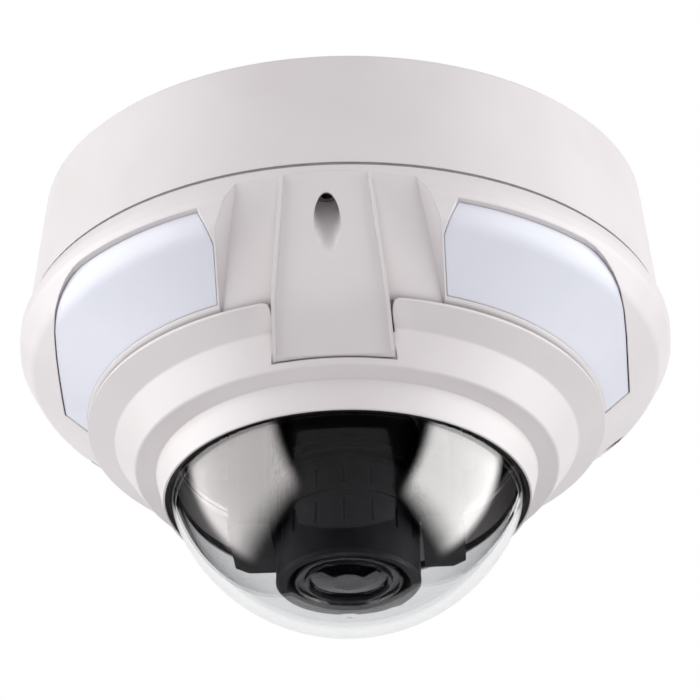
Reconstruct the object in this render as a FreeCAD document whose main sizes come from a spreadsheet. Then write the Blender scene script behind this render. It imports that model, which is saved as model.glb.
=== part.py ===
"""Ceiling-mounted vandal-resistant dome camera, as a parametric document in millimetres.

The origin is the centre of the face that meets the ceiling, +Z points up into the ceiling,
and the dome hangs down.  Every height in the sheet named "depth" is measured down from that
face, so a piece at a depth of 33 mm lies at Z = -33.
"""
import FreeCAD, Part

import os
import re

import Sketcher

# ---------------------------------------------------------------------------------------
# Driving dimensions
# ---------------------------------------------------------------------------------------

SIZES = {
    # how far cutting forms reach past the camera
    "form_reach": 100.0,
    # base housing, the cup that is screwed to the ceiling
    "base_top_radius": 73.8,
    "base_rim_radius": 78.0,
    "base_depth": 33.0,
    "base_wall": 3.0,
    "base_floor": 3.5,
    "base_edge_chamfer": 1.0,
    "gasket_thickness": 1.0,
    "gasket_width": 1.0,
    "gasket_inset": 0.6,
    "rim_flange_width": 5.2,
    "rim_flange_thickness": 3.0,
    # cover screws, each at the top of a deep well
    "cover_screw_count": 3,
    "screw_inset": 4.0,
    "well_radius": 3.2,
    "well_floor_thickness": 3.0,
    "well_boss_wall": 2.4,
    "screw_shank_radius": 1.5,
    "screw_clearance": 0.05,
    "screw_head_radius": 2.75,
    "screw_head_height": 3.0,
    "screw_reach": 6.5,
    "screw_tip_gap": 0.5,
    "screw_socket_radius": 1.44,
    "base_boss_radius": 3.0,
    "base_boss_roof": 1.0,
    # what stands on the four diagonals: ceiling screws, posts, bezel screws
    "corner_count": 4,
    # ceiling fixing and cable entry
    "mount_hole_circle_radius": 62.0,
    "mount_hole_radius": 2.5,
    "mount_pad_radius": 6.0,
    "mount_pad_height": 1.5,
    "cable_entry_radius": 11.0,
    "cable_entry_offset": 46.0,
    "cable_bore_radius": 3.5,
    "grommet_lip": 2.5,
    "grommet_lip_thickness": 1.6,
    "grommet_nose": 2.0,
    # posts that carry the main board and the chassis plate
    "post_circle_radius": 46.0,
    "post_foot_radius": 4.5,
    "post_radius": 3.0,
    "plate_screw_radius": 1.25,
    "plate_screw_head_radius": 2.6,
    "plate_screw_head_height": 1.6,
    "plate_screw_socket_radius": 0.9,
    "plate_screw_reach": 6.0,
    "board_depth": 12.0,
    "board_thickness": 1.6,
    "board_radius": 54.0,
    "board_flat_offset": 30.0,
    "spacer_wall": 1.4,
    "plate_clearance": 0.3,
    # cover housing, from its rim down to the foot that meets the bezel ring
    "top_overhang": 0.4,
    "rim_overhang": 2.0,
    "rim_high_depth": 37.0,
    "rim_low_depth": 40.5,
    "rim_rounding": 3.0,
    "belly_set_in": 3.0,
    "belly_depth": 46.2,
    "belly_rounding": 4.0,
    "foot_radius": 62.6,
    "foot_depth": 59.5,
    "waist_radius": 61.0,
    "waist_depth": 60.5,
    "cover_wall": 5.0,
    "rim_land_width": 4.6,
    "neck_radius": 54.2,
    "neck_wall": 1.4,
    "seat_depth": 66.4,
    "seat_thickness": 2.8,
    "seat_step_across": 1.9,
    "seat_step_up": 1.5,
    "dome_opening_radius": 47.4,
    # valley on both sides of the front panel
    "valley_rim_depth": 37.4,
    "valley_set_in": 3.2,
    "valley_depth": 41.3,
    "valley_wall": 3.3,
    "valley_land_step": 1.0,
    "valley_half": 24.0,
    "cheek_reach": 8.0,
    # front panel
    "panel_overhang": 0.8,
    "panel_top_half": 9.4,
    "panel_bend_radius": 66.2,
    "panel_bend_depth": 62.5,
    "panel_bend_half": 13.0,
    "panel_foot_half": 13.6,
    "panel_foot_radius": 53.3,
    "panel_foot_depth": 71.5,
    "panel_root_thickness": 7.5,
    "panel_foot_thickness": 3.4,
    "panel_cap": 1.0,
    "panel_rounding": 18.0,
    "panel_rib_width": 1.0,
    "panel_rib_height": 1.1,
    # motion-sensor windows
    "window_inner_offset": 27.3,
    "window_outer_offset": 69.4,
    "window_far_end": 3.0,
    "window_top_depth": 41.4,
    "window_low_depth": 58.8,
    "window_outer_rounding": 9.0,
    "window_corner_cut_across": 3.7,
    "window_corner_cut_down": 7.4,
    "window_lip_recess": 1.6,
    "window_wall": 2.0,
    "window_gap": 0.25,
    "window_set_back": 0.2,
    "window_rounding": 8.0,
    "window_flange_width": 3.0,
    "window_flange_thickness": 1.5,
    "frame_land": 0.5,
    # bezel ring
    "bezel_rim_radius": 63.3,
    "bezel_rim_depth": 61.8,
    "bezel_rim_edge": 0.9,
    "bezel_shoulder_radius": 56.6,
    "bezel_shoulder_depth": 65.7,
    "bezel_step_radius": 51.7,
    "bezel_step_depth": 73.4,
    "lip_root_radius": 46.6,
    "lip_root_depth": 74.3,
    "lip_end_radius": 44.9,
    "lip_end_depth": 81.6,
    "lip_end_width": 0.5,
    "lip_bore_end_depth": 73.5,
    "bezel_rounding": 0.8,
    "notch_gap": 0.4,
    "notch_corner_radius": 2.6,
    "bezel_screw_circle_radius": 50.9,
    "bezel_screw_radius": 1.1,
    "bezel_screw_reach": 4.0,
    "bezel_screw_head_radius": 1.9,
    "bezel_screw_head_height": 1.5,
    # dome bubble
    "dome_radius": 45.0,
    "dome_wall": 2.5,
    "dome_centre_depth": 69.0,
    "dome_flange_radius": 48.4,
    "dome_flange_thickness": 2.5,
    "dome_gasket_thickness": 0.6,
    "seal_height": 2.4,
    "seal_set_back": 0.4,
    "seal_clearance": 0.05,
    "fit_gap": 0.3,
    # inner liner, the black funnel round the gimbal
    "liner_wall": 1.2,
    "liner_flange_radius": 48.7,
    "liner_mouth_radius": 33.0,
    "liner_throat_radius": 37.0,
    "liner_top_depth": 56.0,
    # gimbal
    "chassis_depth": 41.0,
    "chassis_thickness": 2.2,
    "chassis_radius": 40.0,
    "chassis_arm_start": 28.0,
    "chassis_arm_half": 9.0,
    "chassis_arm_reach": 60.0,
    "chassis_tab_drop": 14.0,
    "hub_radius": 24.0,
    "running_clearance": 0.05,
    "hub_bore_radius": 14.0,
    "yoke_radius": 30.0,
    "yoke_thickness": 3.0,
    "retainer_radius": 27.5,
    "retainer_thickness": 1.5,
    "cheek_inner": 18.0,
    "cheek_thickness": 10.0,
    "cheek_half_depth": 13.0,
    "cheek_drop": 25.0,
    "cheek_corner_cut": 3.0,
    "pivot_radius": 2.5,
    "pivot_shoulder": 0.65,
    "pivot_seat_gap": 0.02,
    "pivot_head_radius": 5.0,
    "pivot_head_thickness": 2.6,
    "tilt_ring_outer": 17.7,
    "tilt_ring_height": 10.0,
    "sleeve_radius": 15.4,
    "sleeve_rise": 13.0,
    "sleeve_flange_radius": 17.0,
    "sleeve_flange_thickness": 2.2,
    "sleeve_cavity_radius": 13.9,
    "cavity_end_rise": 1.0,
    "clip_thickness": 1.2,
    "rear_cap_thickness": 1.5,
    "cable_hole_radius": 3.0,
    "sleeve_play": 0.1,
    "skirt_wall": 1.0,
    "sensor_spacer_wall": 1.5,
    "sensor_board_rise": 8.0,
    "sensor_chip_half": 4.0,
    "sensor_chip_height": 1.5,
    # lens
    "lens_thread_radius": 9.0,
    "lens_bore_radius": 7.0,
    "barrel_radius": 13.2,
    "barrel_flange_radius": 16.4,
    "barrel_flange_gap": 1.5,
    "barrel_flange_thickness": 1.7,
    "zoom_ring_radius": 16.8,
    "zoom_ring_height": 7.5,
    "collar_thickness": 0.9,
    "ring_gap": 0.3,
    "focus_ring_radius": 17.25,
    "lens_drop": 35.5,
    "focus_ring_edge": 0.8,
    "front_bezel_radius": 12.6,
    "front_bezel_slope": 2.2,
    "front_bezel_thickness": 2.4,
    "front_lens_radius": 12.2,
    "front_lens_edge": 1.6,
    "front_lens_crown": 1.8,
    "lens_edge_gap": 0.4,
    "barrel_mouth_wall": 2.0,
    "bore_depth": 6.0,
    "grip_count": 16,
    "grip_depth": 0.45,
    "grip_width": 1.0,
    "grip_margin": 1.5,
    "grip_length": 8.5,
    # electronics
    "jack_width": 16.0,
    "jack_length": 18.0,
    "jack_height": 13.2,
    "jack_wall": 2.6,
    "jack_socket_width": 11.8,
    "jack_socket_length": 12.0,
    "jack_socket_height": 8.0,
    "terminal_offset": 16.0,
    "terminal_width": 10.0,
    "terminal_length": 8.0,
    "terminal_height": 9.0,
    "terminal_screw_radius": 1.6,
    "wire_entry_width": 3.4,
    "wire_entry_length": 5.0,
    "wire_entry_height": 3.4,
    "cooler_offset": -34.0,
    "cooler_width": 20.0,
    "cooler_length": 20.0,
    "cooler_height": 2.0,
    "fin_count": 6,
    "fin_width": 1.4,
    "fin_length": 20.0,
    "fin_height": 6.0,
    "card_offset": 47.0,
    "card_width": 14.0,
    "card_length": 15.0,
    "card_height": 1.9,
    "card_slot_width": 12.0,
    "card_slot_length": 11.6,
    "card_slot_height": 0.9,
    "switch_offset": 36.0,
    "switch_width": 6.0,
    "switch_length": 6.0,
    "switch_height": 3.4,
    "switch_floor": 0.6,
    "button_radius": 1.7,
    "button_rise": 1.2,
    "button_travel": 0.5,
    "button_rest_gap": 0.1,
    "tab_board_half": 9.0,
    "tab_board_height": 12.0,
    "detector_radius": 4.6,
    "detector_height": 3.2,
}

# Sizes that follow from the driving ones.
DERIVED = {
    "cover_depth": "base_depth + gasket_thickness",
    "cover_top_radius": "base_rim_radius + top_overhang",
    "cover_rim_radius": "base_rim_radius + rim_overhang",
    "land_radius": "cover_rim_radius - rim_land_width",
    "belly_radius": "cover_rim_radius - belly_set_in",
    "belly_slope": "(belly_radius - foot_radius) / (foot_depth - belly_depth)",
    "screw_circle_radius": "base_rim_radius - screw_inset",
    "well_boss_radius": "well_radius + well_boss_wall",
    "panel_top_radius": "cover_rim_radius + panel_overhang",
    "panel_slope": "(panel_top_radius - panel_bend_radius) / (panel_bend_depth - cover_depth)",
    "bend_back_radius": "panel_bend_radius - panel_root_thickness",
    "foot_back_radius": "panel_foot_radius - panel_foot_thickness",
    "flange_top_depth": "seat_depth + dome_gasket_thickness",
    "yoke_top_depth": "chassis_depth + chassis_thickness + fit_gap",
    "retainer_low_depth": "chassis_depth - fit_gap",
    "ring_low_depth": "dome_centre_depth + tilt_ring_height / 2 + fit_gap",
    "ring_high_depth": "dome_centre_depth - tilt_ring_height / 2 - fit_gap",
    "sleeve_foot_depth": "ring_low_depth + sleeve_flange_thickness",
    "sleeve_top_depth": "dome_centre_depth - sleeve_rise",
    "sleeve_cavity_end_depth": "dome_centre_depth - cavity_end_rise",
    "sensor_board_depth": "dome_centre_depth - sensor_board_rise",
    "cheek_bottom_depth": "dome_centre_depth + cheek_drop",
    "barrel_flange_depth": "sleeve_foot_depth + barrel_flange_gap",
    "zoom_top_depth": "barrel_flange_depth + barrel_flange_thickness + ring_gap",
    "zoom_low_depth": "zoom_top_depth + zoom_ring_height",
    "collar_top_depth": "zoom_low_depth + ring_gap",
    "focus_top_depth": "collar_top_depth + collar_thickness + ring_gap",
    "lens_face_depth": "dome_centre_depth + lens_drop",
    "front_bezel_depth": "lens_face_depth - front_bezel_thickness",
    "diagonal": "sqrt(0.5)",
}

document = FreeCAD.newDocument("dome_camera")
sheet = document.addObject("Spreadsheet::Sheet", "Sizes")
for row, (alias, value) in enumerate(SIZES.items(), start=1):
    sheet.set("A%d" % row, alias)
    sheet.set("B%d" % row, str(value))
    sheet.setAlias("B%d" % row, alias)
document.recompute()

finished = []


# ---------------------------------------------------------------------------------------
# Helpers
# ---------------------------------------------------------------------------------------

def bound(text):
    """Writes a formula of size names as an expression that reads the sheet."""
    def name(match):
        word = match.group(0)
        if word in DERIVED:
            return "(%s)" % bound(DERIVED[word])
        return "Sizes." + word if word in SIZES else word
    return re.sub(r"[A-Za-z_][A-Za-z_0-9]*", name, str(text))


def bind(thing, **formulas):
    """Binds properties to formulas; two underscores stand for a full stop."""
    for path, formula in formulas.items():
        thing.setExpression(path.replace("__", "."), bound(formula))
    return thing


def draw(sketch, outlines=(), circles=()):
    """Draws closed outlines and circles whose every coordinate is bound to the sheet."""
    for corners in outlines:
        first = sketch.GeometryCount
        count = len(corners)
        rough = [FreeCAD.Vector(10 + index, index * index, 0) for index in range(count)]
        for index in range(count):
            sketch.addGeometry(Part.LineSegment(rough[index], rough[(index + 1) % count]), False)
        for index in range(count):
            following = first + (index + 1) % count
            sketch.addConstraint(Sketcher.Constraint("Coincident", first + index, 2, following, 1))
        for index, (across, up) in enumerate(corners):
            hold_point(sketch, first + index, 1, across, up)
    for across, up, radius in circles:
        centre = FreeCAD.Vector(1, 1, 0)
        circle = sketch.addGeometry(Part.Circle(centre, FreeCAD.Vector(0, 0, 1), 5), False)
        hold_point(sketch, circle, 3, across, up)
        rule = sketch.addConstraint(Sketcher.Constraint("Radius", circle, 5))
        sketch.setExpression("Constraints[%d]" % rule, bound(radius))
    return sketch


def hold_point(sketch, geometry, end, across, up):
    """Holds one point of a sketch at a bound place."""
    for kind, formula in (("DistanceX", across), ("DistanceY", up)):
        rule = sketch.addConstraint(Sketcher.Constraint(kind, -1, 1, geometry, end, 1.0))
        sketch.setExpression("Constraints[%d]" % rule, bound(formula))


def origin_part(body, role):
    """Finds a plane or an axis of a body's own origin."""
    return [item for item in body.Origin.OriginFeatures if item.Role == role][0]


def new_body(label):
    body = document.addObject("PartDesign::Body", label)
    body.Label = label
    return body


def body_sketch(body, name, role, outlines=(), circles=(), height="0"):
    """A sketch on one of the body's origin planes, lifted along its normal."""
    sketch = body.newObject("Sketcher::SketchObject", name)
    sketch.AttachmentSupport = [(origin_part(body, role), "")]
    sketch.MapMode = "FlatFace"
    bind(sketch, AttachmentOffset__Base__z=height)
    return draw(sketch, outlines, circles)


def turned(label, corners):
    """A body spun from a closed section of (radius, height) corners about the Z axis."""
    body = new_body(label)
    section = body_sketch(body, label + "_section", "XZ_Plane", [corners])
    spin = body.newObject("PartDesign::Revolution", label + "_spin")
    spin.Profile = section
    spin.ReferenceAxis = (section, ["V_Axis"])
    spin.Angle = 360.0
    section.Visibility = False
    return body


def seam_in_front(body):
    """Turns a full round so that the seam of its faces lies in front, under the panel."""
    body.Placement.Rotation = FreeCAD.Rotation(FreeCAD.Vector(0, 0, 1), -90)
    return body


def raised(body, name, outlines=(), circles=(), base="0", height="1", kind="Pad"):
    """Pads or pockets a level profile upwards from a bound height."""
    profile = body_sketch(body, name + "_profile", "XY_Plane", outlines, circles, base)
    feature = body.newObject("PartDesign::" + kind, name)
    feature.Profile = profile
    feature.Reversed = kind == "Pocket"
    return bind(feature, Length=height)


def around(body, name, features, count="corner_count"):
    """Repeats features evenly about the Z axis."""
    pattern = body.newObject("PartDesign::PolarPattern", name)
    pattern.Originals = features
    pattern.Axis = (origin_part(body, "Z_Axis"), [""])
    pattern.Angle = 360.0
    bind(pattern, Occurrences=count)
    body.Tip = pattern
    return pattern


def side_body(label, corners, width):
    """A body padded evenly to both sides of an outline of (distance out, height) corners."""
    body = new_body(label)
    outline = [("-(%s)" % out, height) for out, height in corners]
    section = body_sketch(body, label + "_section", "YZ_Plane", [outline])
    pad = body.newObject("PartDesign::Pad", label + "_pad")
    pad.Profile = section
    pad.Midplane = True
    bind(pad, Length=width)
    body.Tip = pad
    return body


def cylinder(label, radius, low, height, across="0", along="0"):
    """An upright cylinder standing on a bound height."""
    solid = document.addObject("Part::Cylinder", label)
    solid.Label = label
    bind(solid, Radius=radius, Height=height)
    return bind(solid, Placement__Base__x=across, Placement__Base__y=along, Placement__Base__z=low)


def block(label, size, corner):
    """A box given by its three sizes and its lowest corner."""
    solid = document.addObject("Part::Box", label)
    solid.Label = label
    bind(solid, Length=size[0], Width=size[1], Height=size[2])
    return bind(solid, Placement__Base__x=corner[0], Placement__Base__y=corner[1],
                Placement__Base__z=corner[2])


def joined(label, pieces):
    fuse = document.addObject("Part::MultiFuse", label)
    fuse.Label = label
    fuse.Shapes = pieces
    fuse.Refine = False
    return fuse


def cut(label, base, tool):
    difference = document.addObject("Part::Cut", label)
    difference.Label = label
    difference.Base = base
    difference.Tool = tool
    return difference


def shared(label, pieces):
    common = document.addObject("Part::MultiCommon", label)
    common.Label = label
    common.Shapes = pieces
    return common


def group(label, pieces):
    """Several separate solids that share one node."""
    compound = document.addObject("Part::Compound", label)
    compound.Label = label
    compound.Links = pieces
    return compound


def prism(label, corners, depth="form_reach", start="0"):
    """Extrudes a front-view outline of (sideways, height) forwards from a bound start."""
    sketch = document.addObject("Sketcher::SketchObject", label + "_outline")
    draw(sketch, [corners])
    sketch.Placement.Rotation = FreeCAD.Rotation(FreeCAD.Vector(1, 0, 0), 90)
    bind(sketch, Placement__Base__y=start)
    solid = document.addObject("Part::Extrusion", label)
    solid.Label = label
    solid.Base = sketch
    solid.DirMode = "Normal"
    solid.Solid = True
    bind(solid, LengthFwd=depth)
    return solid


def finish(thing):
    """Marks an object as a finished piece of the camera."""
    finished.append(thing)
    return thing


def even_turns(count_name, first=0.0):
    """Even turns about the Z axis in degrees; no turn is the front, at -Y."""
    count = int(SIZES[count_name])
    return [first + 360.0 * step / count for step in range(count)]


def turned_place(radius, turn):
    """The level place at a radius and a turn, as two formulas."""
    return ("%s * sin(%s)" % (radius, turn), "-%s * cos(%s)" % (radius, turn))


def made_by_corner(edge, place):
    """Whether an edge is what a corner of a turned or a padded section has swept."""
    near = 0.001
    if isinstance(edge.Curve, Part.Circle):
        return abs(edge.Curve.Radius - place.x) < near and abs(edge.Curve.Center.z - place.y) < near
    return all(abs(end.Y - place.x) < near and abs(end.Z - place.y) < near for end in edge.Vertexes)


def round_corners(body, corner_indexes, radius):
    """Rounds the edges that the named corners of a body's section sweep."""
    document.recompute()
    before = body.Tip
    section = body.Group[0]
    names = []
    for corner in corner_indexes:
        place = section.Geometry[corner].StartPoint
        names += ["Edge%d" % number for number, edge in enumerate(before.Shape.Edges, start=1)
                  if made_by_corner(edge, place)]
    fillet = body.newObject("PartDesign::Fillet", body.Name + "_rounding_" + str(len(body.Group)))
    fillet.Base = (before, names)
    bind(fillet, Radius=radius)
    body.Tip = fillet
    return body


def mirrored(corners):
    """The same corners on the other side of the upright plane through the axis."""
    return [("-(%s)" % across, height) for across, height in reversed(corners)]


# ---------------------------------------------------------------------------------------
# Base housing, gasket, grommet
# ---------------------------------------------------------------------------------------

def post_places():
    """The four posts stand on the diagonals, under the windows."""
    reach = "post_circle_radius * diagonal"
    return [(sign_x + reach, sign_y + reach) for sign_x in ("", "-") for sign_y in ("", "-")]


def make_base_housing():
    inner_top = "base_top_radius - base_wall"
    flange_inner = "base_rim_radius - rim_flange_width"
    flange_top = "-(base_depth - rim_flange_thickness)"
    body = turned("base_housing", [
        ("0", "0"),
        ("base_top_radius - base_edge_chamfer", "0"),
        ("base_top_radius", "-base_edge_chamfer"),
        ("base_rim_radius", "-base_depth"),
        (flange_inner, "-base_depth"),
        (flange_inner, flange_top),
        ("base_rim_radius - base_wall", flange_top + " + 1.5"),
        (inner_top, "-base_floor"),
        ("0", "-base_floor"),
    ])
    boss = raised(body, "cover_screw_boss", circles=[("0", "-screw_circle_radius", "base_boss_radius")],
                  base="-base_depth", height="screw_reach + base_boss_roof - gasket_thickness")
    around(body, "cover_screw_bosses", [boss], "cover_screw_count")
    corner = "mount_hole_circle_radius * diagonal"
    pad = raised(body, "mount_pad", circles=[(corner, corner, "mount_pad_radius")],
                 base="-(base_floor + mount_pad_height)", height="mount_pad_height")
    around(body, "mount_pads", [pad])
    feet = [(across, along, "post_foot_radius") for across, along in post_places()]
    raised(body, "post_feet", circles=feet, base="-board_depth", height="board_depth - base_floor")
    posts = [(across, along, "post_radius") for across, along in post_places()]
    raised(body, "posts", circles=posts, base="-chassis_depth", height="chassis_depth - board_depth")
    pilots = [(across, along, "plate_screw_radius + screw_clearance")
              for across, along in post_places()]
    raised(body, "post_pilot_holes", circles=pilots, base="-chassis_depth",
           height="plate_screw_reach + screw_tip_gap", kind="Pocket")
    raised(body, "cable_entry", circles=[("0", "cable_entry_offset", "cable_entry_radius")],
           base="-base_floor", height="base_floor", kind="Pocket")
    pilot = raised(body, "screw_pilot", circles=[("0", "-screw_circle_radius",
                                                  "screw_shank_radius + screw_clearance")],
                   base="-cover_depth", height="screw_reach", kind="Pocket")
    around(body, "screw_pilots", [pilot], "cover_screw_count")
    hole = raised(body, "mount_hole", circles=[(corner, corner, "mount_hole_radius")],
                  base="-(base_floor + mount_pad_height)", height="base_floor + mount_pad_height",
                  kind="Pocket")
    around(body, "mount_holes", [hole])
    return finish(body)


def make_base_gasket():
    inner = "base_rim_radius - gasket_inset - gasket_width"
    return finish(turned("base_gasket", [
        (inner, "-base_depth"),
        ("base_rim_radius - gasket_inset", "-base_depth"),
        ("base_rim_radius - gasket_inset", "-cover_depth"),
        (inner, "-cover_depth"),
    ]))


def make_cable_grommet():
    """A rubber ring with a waist that snaps into the cable entry."""
    waist = "(cable_entry_radius - fit_gap / 3)"
    lip = "(cable_entry_radius + grommet_lip)"
    low = "(base_floor + grommet_lip_thickness)"
    body = turned("cable_grommet", [
        ("cable_bore_radius", "-fit_gap"),
        (waist, "-fit_gap"),
        (waist, "-base_floor"),
        (lip, "-base_floor"),
        (lip + " - grommet_lip_thickness / 2", "-" + low),
        ("cable_bore_radius + grommet_nose", "-" + low),
        ("cable_bore_radius", "-(%s + grommet_nose)" % low),
    ])
    bind(body, Placement__Base__y="cable_entry_offset")
    return finish(body)


# ---------------------------------------------------------------------------------------
# Cover housing
# ---------------------------------------------------------------------------------------

def seat_corners():
    """The hidden shoulder under the bezel ring and the seat that the dome is clamped to."""
    return [
        ("waist_radius", "-waist_depth"),
        ("bezel_shoulder_radius - seat_step_across", "-(bezel_shoulder_depth - seat_step_up)"),
        ("neck_radius", "-seat_depth"),
        ("dome_opening_radius", "-seat_depth"),
        ("dome_opening_radius", "-(seat_depth - seat_thickness)"),
        ("neck_radius - neck_wall", "-(seat_depth - seat_thickness)"),
    ]


def rim_corners():
    """The cover's rim, which widens from the gasket down."""
    return [("cover_top_radius", "-cover_depth"), ("cover_rim_radius", "-rim_high_depth")]


def belly_corners(inset="0"):
    """The cover's full wall from its rim down to its foot, moved inwards by an inset."""
    return [
        ("cover_rim_radius - %s" % inset, "-rim_low_depth"),
        ("belly_radius - %s" % inset, "-belly_depth"),
        ("foot_radius - %s" % inset, "-foot_depth"),
    ]


def make_full_wall():
    """The cover's wall all round, before the valley and the windows are cut out of it."""
    inner = belly_corners("cover_wall")
    body = turned("cover_full_wall", rim_corners() + belly_corners() + seat_corners() + [
        inner[2],
        inner[1],
        ("land_radius", "-rim_low_depth"),
        ("land_radius", "-cover_depth"),
    ])
    round_corners(body, [1, 2], "rim_rounding")
    return seam_in_front(round_corners(body, [3], "belly_rounding"))


def valley_corners():
    """The valley's own surface, from the rim to the shoulder under the bezel ring."""
    return rim_corners() + [
        ("cover_rim_radius", "-valley_rim_depth"),
        ("cover_rim_radius - valley_set_in", "-valley_depth"),
    ]


def make_valley_wall():
    """The lower wall on both sides of the front panel, which closes the gap of its cut."""
    wall = turned("valley_turned_wall", valley_corners() + seat_corners() + [
        ("waist_radius - valley_wall", "-waist_depth"),
        ("cover_rim_radius - valley_set_in - valley_wall", "-valley_depth"),
        ("land_radius - valley_land_step", "-rim_low_depth"),
        ("land_radius - valley_land_step", "-cover_depth"),
    ])
    zone = block("valley_zone", ("valley_half * 2", "form_reach", "form_reach"),
                 ("-valley_half", "-form_reach", "-form_reach"))
    return shared("valley_wall", [wall, zone])


def make_valley_cut():
    """What the valley takes out of the full wall, between cheeks at 45 degrees.

    A level trapezoid slides along the line where the full wall meets the land beside the
    window, and the valley's own surface limits the cut.
    """
    edge = "(window_inner_offset - frame_land)"
    belly_out = "sqrt(belly_radius * belly_radius - %s * %s)" % (edge, edge)
    foot_out = "sqrt(foot_radius * foot_radius - %s * %s)" % (edge, edge)
    slope = "((%s - %s) / (foot_depth - belly_depth))" % (belly_out, foot_out)
    top_out = "(%s + (belly_depth - cover_depth) * %s)" % (belly_out, slope)
    right = [
        (edge + " - cheek_reach", "-(%s - cheek_reach)" % top_out),
        (edge + " + cheek_reach * 2", "-(%s + cheek_reach * 2)" % top_out),
    ]
    sketch = document.addObject("Sketcher::SketchObject", "valley_trapezoid")
    draw(sketch, [right + mirrored(right)])
    bind(sketch, Placement__Base__z="-cover_depth")
    slide = document.addObject("Part::Extrusion", "valley_slide")
    slide.Base = sketch
    slide.DirMode = "Custom"
    slide.Solid = True
    bind(slide, Dir__x="0", Dir__y=slope, Dir__z="-1",
         LengthFwd="(waist_depth - cover_depth) * sqrt(1 + %s * %s)" % (slope, slope))
    core = turned("valley_core", [("0", "-cover_depth")] + valley_corners() + [
        ("waist_radius", "-waist_depth"),
        ("0", "-waist_depth"),
    ])
    return cut("valley_cut", slide, core)


def window_outline(grow, inner_grow):
    """A window seen from the front, on the +X side, made larger by a margin all round."""
    inner = "(window_inner_offset - %s)" % inner_grow
    outer = "(window_outer_offset + %s)" % grow
    top = "(window_top_depth - %s)" % grow
    low = "(window_low_depth + %s)" % grow
    radius = "(window_outer_rounding + %s)" % grow
    corners = [
        (inner, "-" + low),
        (inner, "-(%s + window_corner_cut_down)" % top),
        ("%s + window_corner_cut_across" % inner, "-" + top),
    ]
    steps = 6
    for step in range(steps + 1):
        angle = 90.0 * step / steps
        corners.append(("%s - %s * (1 - sin(%s))" % (outer, radius, angle),
                        "-(%s + %s * (1 - cos(%s)))" % (top, radius, angle)))
    return corners + [(outer, "-" + low)]


def window_block(label, side, grow, inner_grow=None):
    """The space over one window, from its far end forwards."""
    corners = window_outline(grow, inner_grow or grow)
    if side == "left":
        corners = mirrored(corners)
    return prism(label, corners, start="window_far_end + " + grow)


def panel_outline(grow, low_grow="0"):
    """The front panel seen from the front: narrow at the rim, wider towards its foot."""
    right = [
        ("panel_top_half + " + grow, "-(cover_depth - panel_cap)"),
        ("panel_bend_half + " + grow, "-panel_bend_depth"),
        ("panel_foot_half + " + grow, "-(panel_foot_depth + %s)" % low_grow),
    ]
    return right + mirrored(right)


def panel_face(raise_by):
    """The panel's face seen from the side: steep to its bend, then flatter to its foot."""
    slope = "(panel_bend_radius - panel_foot_radius) / (panel_foot_depth - panel_bend_depth)"
    return [
        ("panel_top_radius + panel_cap * panel_slope + " + raise_by, "-(cover_depth - panel_cap)"),
        ("panel_bend_radius + " + raise_by, "-panel_bend_depth"),
        ("panel_foot_radius - panel_cap * %s + %s" % (slope, raise_by),
         "-(panel_foot_depth + panel_cap)"),
    ]


def panel_back(inset):
    """The panel's hidden back seen from the side, from its foot up, moved inwards."""
    return [
        ("foot_back_radius - " + inset, "-(panel_foot_depth + panel_cap)"),
        ("bend_back_radius - " + inset, "-panel_bend_depth"),
        ("panel_top_radius - panel_root_thickness - " + inset, "-cover_depth"),
    ]


def make_panel():
    """The front panel as a slab with a rib along each side, and the space over its face."""
    inside_rim = turned("panel_limit", [("0", "-cover_depth")] + rim_corners() + [
        ("cover_rim_radius", "-(panel_foot_depth + panel_cap)"),
        ("0", "-(panel_foot_depth + panel_cap)"),
    ])
    slab_side = side_body("panel_slab_side", panel_face("panel_rib_height") + panel_back("0"),
                          "panel_foot_half * 3")
    over_side = side_body("panel_over_side", panel_face("0") + [
        ("form_reach", "-(panel_foot_depth + panel_cap)"),
        ("form_reach", "-(cover_depth - panel_cap)"),
    ], "panel_foot_half * 3")
    for side in (slab_side, over_side):
        round_corners(side, [1], "panel_rounding")
    slab = shared("panel_slab", [
        slab_side, prism("panel_slab_front", panel_outline("panel_rib_width")), inside_rim])
    over = shared("panel_over", [over_side, prism("panel_over_front", panel_outline("0"))])
    return slab, over


def make_cover_housing():
    """The cast cover: full wall, valley, front panel, screw wells and window openings."""
    openings = [window_block("window_opening_" + side, side, "0") for side in ("left", "right")]
    full_wall = make_full_wall()
    for number, tool in enumerate([make_valley_cut()] + openings):
        full_wall = cut("cover_wall_cut_%d" % number, full_wall, tool)
    slab, over = make_panel()
    solids = [full_wall, make_valley_wall(), slab]
    holes = [over]
    inside = turned("cover_inside", [("0", "-cover_depth")] + rim_corners() + belly_corners() + [
        ("0", "-foot_depth")])
    for number, turn in enumerate(even_turns("cover_screw_count"), start=1):
        place = turned_place("screw_circle_radius", turn)
        boss = cylinder("well_boss_%d" % number, "well_boss_radius",
                        "-(belly_depth + well_boss_radius)",
                        "belly_depth + well_boss_radius - cover_depth", *place)
        solids.append(shared("well_boss_inside_%d" % number, [boss, inside]))
        holes.append(cylinder("well_%d" % number, "well_radius", "-form_reach",
                              "form_reach - cover_depth - well_floor_thickness", *place))
        holes.append(cylinder("well_hole_%d" % number, "screw_shank_radius + fit_gap",
                              "-form_reach", "form_reach", *place))
    for number, turn in enumerate(even_turns("corner_count", 45.0), start=1):
        place = turned_place("bezel_screw_circle_radius", turn)
        holes.append(cylinder("bezel_screw_hole_%d" % number, "bezel_screw_radius + fit_gap",
                              "-seat_depth", "seat_thickness", *place))
    cover = cut("cover_housing", joined("cover_shell", solids), joined("cover_cuts", holes))
    return finish(cover)


# ---------------------------------------------------------------------------------------
# Windows
# ---------------------------------------------------------------------------------------

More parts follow.
